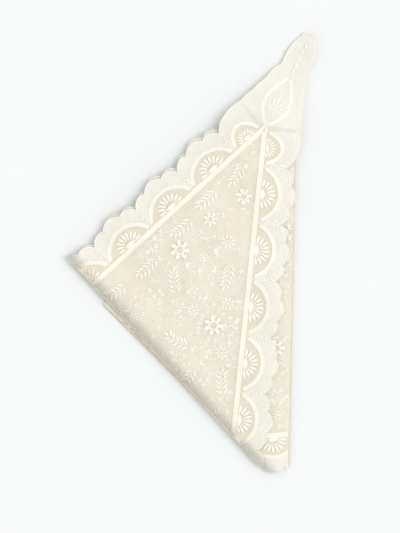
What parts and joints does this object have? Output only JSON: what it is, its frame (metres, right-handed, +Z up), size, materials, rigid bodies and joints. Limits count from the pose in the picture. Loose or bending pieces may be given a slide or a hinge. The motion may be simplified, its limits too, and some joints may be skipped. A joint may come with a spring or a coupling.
{
  "type": "folded lace veil",
  "caption": "Sheer triangular lace veil with scalloped lace edging, folded in half and with its doubled corner turned over into a flat packet; its folds open.",
  "frame": {"origin": "under the middle of the folded packet, on the surface it lies on", "axes": "+Z up out of the surface, +Y towards the front corner's tip, +X towards the half fold"},
  "size_m": [0.3178, 0.5702, 0.0095],
  "materials": {
    "net": "sheer embroidered net",
    "lace_ground": "dense lace net",
    "heading_tape": "woven tape",
    "embroidery": "raised satin-stitch thread",
    "turned_net": "net turned over at a fold"
  },
  "bodies": {
    "under_corner": {"under_corner_arches": "embroidery", "under_corner_daisies": "embroidery", "under_corner_eyelets": "embroidery", "under_corner_fans": "embroidery", "under_corner_leaf_sprays": "embroidery", "under_corner_long_edging": "lace_ground", "under_corner_long_tape": "heading_tape", "under_corner_net": "net", "under_corner_rear_edging": "lace_ground", "under_corner_rear_tape": "heading_tape", "under_corner_ring_flowers": "embroidery", "under_corner_scallop_cords": "embroidery", "under_fold_turn": "turned_net"},
    "under_half": {"half_fold_turn": "turned_net", "under_half_arches": "embroidery", "under_half_daisies": "embroidery", "under_half_eyelets": "embroidery", "under_half_fans": "embroidery", "under_half_leaf_sprays": "embroidery", "under_half_long_edging": "lace_ground", "under_half_long_tape": "heading_tape", "under_half_net": "net", "under_half_rear_edging": "lace_ground", "under_half_rear_tape": "heading_tape", "under_half_ring_flowers": "embroidery", "under_half_scallop_cords": "embroidery"},
    "back_half": {"back_half_arches": "embroidery", "back_half_daisies": "embroidery", "back_half_eyelets": "embroidery", "back_half_fans": "embroidery", "back_half_leaf_sprays": "embroidery", "back_half_long_edging": "lace_ground", "back_half_long_tape": "heading_tape", "back_half_net": "net", "back_half_rear_edging": "lace_ground", "back_half_rear_tape": "heading_tape", "back_half_ring_flowers": "embroidery", "back_half_scallop_cords": "embroidery", "back_half_side_edging": "lace_ground", "back_half_side_tape": "heading_tape", "front_fold_turn": "turned_net"},
    "front_corner": {"front_corner_arches": "embroidery", "front_corner_daisies": "embroidery", "front_corner_eyelets": "embroidery", "front_corner_fans": "embroidery", "front_corner_leaf_sprays": "embroidery", "front_corner_long_edging": "lace_ground", "front_corner_long_tape": "heading_tape", "front_corner_net": "net", "front_corner_ring_flowers": "embroidery", "front_corner_scallop_cords": "embroidery", "front_corner_side_edging": "lace_ground", "front_corner_side_tape": "heading_tape"}
  },
  "joints": [
    {"name": "under_corner_fold", "type": "hinge", "parent": "under_corner", "child": "under_half", "pos_m": [0.05094, -0.23026, 0.00175], "axis": [0.7059, -0.7083, 0], "range_deg": [0, 180]},
    {"name": "half_fold", "type": "hinge", "parent": "under_half", "child": "back_half", "pos_m": [0.12876, -0.23557, 0.00425], "axis": [0.0209, 0.9998, 0], "range_deg": [0, 180]},
    {"name": "front_corner_fold", "type": "hinge", "parent": "back_half", "child": "front_corner", "pos_m": [0.05578, -0.23748, 0.00725], "axis": [0.6795, -0.7337, 0], "range_deg": [0, 180]}
  ]
}
